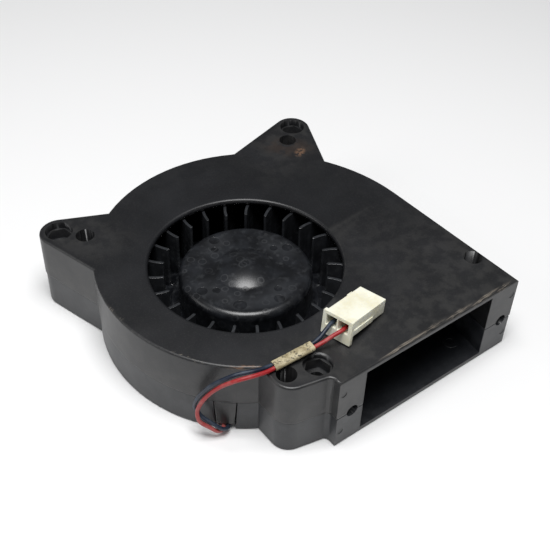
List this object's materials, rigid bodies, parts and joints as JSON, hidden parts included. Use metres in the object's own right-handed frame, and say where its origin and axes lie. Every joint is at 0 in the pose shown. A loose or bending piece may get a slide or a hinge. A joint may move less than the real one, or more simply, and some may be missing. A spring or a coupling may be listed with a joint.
{
  "type": "dc blower fan",
  "caption": "Radial blower with a scroll casing, three mounting lugs, a bladed impeller on an external-rotor motor, a side outlet and a two-wire lead with a connector.",
  "frame": {"origin": "where the rotor axis meets the underside of the casing", "axes": "+Z along the rotor axis towards the inlet, -Y out of the air outlet, +X across the outlet to its far side"},
  "size_m": [0.1278, 0.1302, 0.0422],
  "materials": {
    "casing_black": "moulded satin",
    "impeller_black": "moulded semi-gloss",
    "screw_steel": "black oxide",
    "yoke_steel": "drawn and plated",
    "ferrite": "sintered",
    "brass": "turned",
    "shaft_steel": "ground",
    "spring_steel": "stamped",
    "bronze": "sintered, oiled",
    "nylon": "moulded",
    "core_steel": "laminated",
    "enamelled_copper": "wound",
    "board_green": "solder mask",
    "component_black": "moulded",
    "ceramic_tan": "fired",
    "wire_inner": "extruded",
    "wire_red": "extruded satin",
    "wire_blue": "extruded satin",
    "sleeve_beige": "worn tube",
    "connector_cream": "moulded",
    "tinned_contact": "tinned"
  },
  "bodies": {
    "casing": {"lower_casing": "casing_black", "upper_casing": "casing_black", "casing_screws": "screw_steel", "bearing_tube": "brass", "sleeve_bearing": "bronze", "oil_seal_washer": "nylon", "thrust_pad": "nylon", "stator_core": "core_steel", "lower_insulator": "nylon", "upper_insulator": "nylon", "stator_windings": "enamelled_copper", "winding_posts": "brass", "circuit_board": "board_green", "hall_sensor": "component_black", "driver_chip": "component_black", "board_capacitors": "ceramic_tan", "lead_tails": "wire_inner", "red_wire": "wire_red", "blue_wire": "wire_blue", "marker_sleeve": "sleeve_beige", "connector_housing": "connector_cream", "contact_terminals": "tinned_contact"},
    "rotor": {"impeller": "impeller_black", "rotor_yoke": "yoke_steel", "rotor_magnet": "ferrite", "shaft_bushing": "brass", "shaft": "shaft_steel", "retaining_clip": "spring_steel"}
  },
  "joints": [
    {"name": "impeller_spin", "type": "hinge", "parent": "casing", "child": "rotor", "pos_m": [0, 0, 0.015], "axis": [0, 0, 1], "continuous": true}
  ]
}
